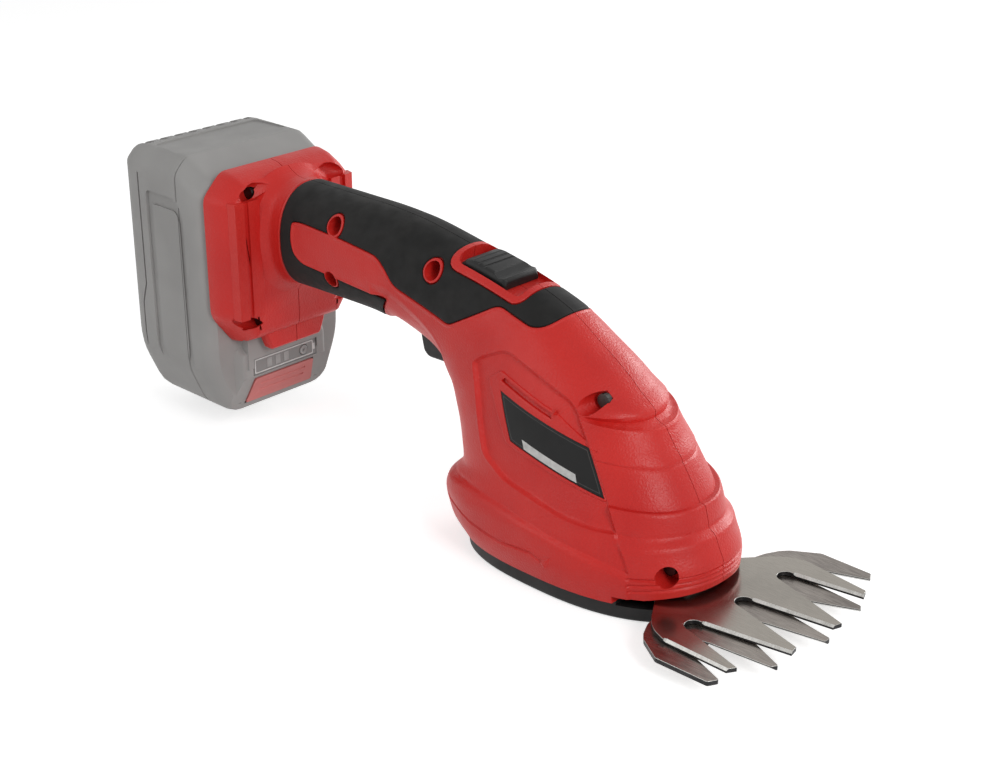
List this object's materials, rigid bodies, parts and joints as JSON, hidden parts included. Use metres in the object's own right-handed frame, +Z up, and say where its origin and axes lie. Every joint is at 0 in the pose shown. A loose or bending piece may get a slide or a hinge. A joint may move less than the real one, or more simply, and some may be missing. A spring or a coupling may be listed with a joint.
{
  "type": "cordless shrub shears",
  "caption": "Cordless shrub shears: curved handle with soft grip, slide-on battery pack, upright motor and gear drive, and a swinging toothed blade over a fixed one.",
  "frame": {"origin": "on the axis of the blade pivot, at the underside of the shoe", "axes": "+X forward to the blade tips, +Z up out of the shoe, -Y the side with the rating plate"},
  "size_m": [0.363, 0.104, 0.13],
  "materials": {
    "red_plastic": "satin with fine grain",
    "black_rubber": "soft matte",
    "black_plastic": "satin",
    "label_black": "smooth film",
    "pack_grey": "satin",
    "pack_red": "satin",
    "blade_steel": "ground, with scratches",
    "zinc_steel": "zinc plated",
    "gear_steel": "sintered",
    "cast_alloy": "die cast",
    "brass": "smooth",
    "white_nylon": "smooth",
    "cell": "shrink wrapped",
    "board_green": "lacquered",
    "wire_red": "smooth insulation",
    "wire_black": "smooth insulation"
  },
  "bodies": {
    "tool": {"housing_right": "red_plastic", "housing_left": "red_plastic", "grip_right": "black_rubber", "grip_left": "black_rubber", "rating_plate": "label_black", "housing_screw_1": "zinc_steel", "housing_screw_2": "zinc_steel", "housing_screw_3": "zinc_steel", "housing_screw_4": "zinc_steel", "housing_screw_5": "zinc_steel", "housing_screw_6": "zinc_steel", "housing_screw_7": "zinc_steel", "shoe_screw_1": "zinc_steel", "shoe_screw_2": "zinc_steel", "shoe_screw_3": "zinc_steel", "motor_can": "zinc_steel", "intermediate_axle": "zinc_steel", "pivot_bolt": "zinc_steel", "wave_washer": "zinc_steel", "trigger_pin": "zinc_steel", "trigger_spring": "zinc_steel", "lock_spring": "zinc_steel", "motor_end_cap": "black_plastic", "shoe": "black_plastic", "switch_body": "black_plastic", "terminal_block": "black_plastic", "gear_base": "cast_alloy", "terminal_plus": "brass", "terminal_minus": "brass", "fixed_blade": "blade_steel", "supply_wire_plus": "wire_red", "motor_wire_plus": "wire_red", "supply_wire_minus": "wire_black", "motor_wire_minus": "wire_black"},
    "rotor": {"motor_rotor": "gear_steel", "motor_pinion": "gear_steel"},
    "intermediate": {"intermediate_gear": "gear_steel"},
    "crank": {"crank_gear": "gear_steel"},
    "roller": {"crank_roller": "brass"},
    "cutter": {"moving_blade": "blade_steel"},
    "trigger": {"trigger": "black_plastic"},
    "plunger": {"switch_plunger": "white_nylon"},
    "lock": {"lock_button": "black_plastic"},
    "battery": {"battery_case_front": "pack_grey", "battery_case_rear": "pack_grey", "cell_01": "cell", "cell_02": "cell", "cell_03": "cell", "cell_04": "cell", "cell_05": "cell", "cell_06": "cell", "cell_07": "cell", "cell_08": "cell", "cell_09": "cell", "cell_10": "cell", "battery_board": "board_green", "gauge_panel": "label_black", "release_spring": "zinc_steel"},
    "release": {"release_button": "pack_red"},
    "gauge": {"gauge_button": "black_rubber"}
  },
  "joints": [
    {"name": "motor_spin", "type": "hinge", "parent": "tool", "child": "rotor", "pos_m": [-0.07, 0, 0.05], "axis": [0, 0, 1], "continuous": true},
    {"name": "intermediate_spin", "type": "hinge", "parent": "tool", "child": "intermediate", "pos_m": [-0.0487, 0.0036, 0.02], "axis": [0, 0, 1], "continuous": true},
    {"name": "crank_spin", "type": "hinge", "parent": "tool", "child": "crank", "pos_m": [-0.027, 0, 0.02], "axis": [0, 0, 1], "continuous": true},
    {"name": "roller_spin", "type": "hinge", "parent": "crank", "child": "roller", "pos_m": [-0.02454, 0.00189, 0.012], "axis": [0, 0, 1], "continuous": true},
    {"name": "blade_swing", "type": "hinge", "parent": "tool", "child": "cutter", "pos_m": [0, 0, 0.009], "axis": [0, 0, 1], "range_deg": [-2.5, 10.5]},
    {"name": "trigger_pull", "type": "hinge", "parent": "tool", "child": "trigger", "pos_m": [-0.121, 0, 0.08], "axis": [0, 1, 0], "range_deg": [0, 12], "stiffness_Nm_per_rad": 0.3, "springref_deg": -5.73, "deforming": ["trigger_spring"]},
    {"name": "plunger_press", "type": "slide", "parent": "tool", "child": "plunger", "axis": [0, 0, 1], "range_m": [0, 0.0045]},
    {"name": "lock_slide", "type": "slide", "parent": "tool", "child": "lock", "axis": [0.9781, 0, -0.2079], "range_m": [0, 0.008], "stiffness_N_per_m": 120, "springref_m": -0.004, "deforming": ["lock_spring"]},
    {"name": "battery_slide", "type": "slide", "parent": "tool", "child": "battery", "axis": [0, 0, -1], "range_m": [0, 0.085]},
    {"name": "release_press", "type": "slide", "parent": "battery", "child": "release", "axis": [-1, 0, 0], "range_m": [0, 0.0027], "stiffness_N_per_m": 600, "springref_m": -0.002, "deforming": ["release_spring"]},
    {"name": "gauge_press", "type": "slide", "parent": "battery", "child": "gauge", "axis": [-1, 0, 0], "range_m": [0, 0.0006], "stiffness_N_per_m": 800, "springref_m": -0.0008}
  ],
  "couplings": [
    {"joint": "intermediate_spin", "follows": "motor_spin", "ratio": -0.28571},
    {"joint": "crank_spin", "follows": "motor_spin", "ratio": 0.10714},
    {"joint": "plunger_press", "follows": "trigger_pull", "m_per_rad": 0.02}
  ]
}
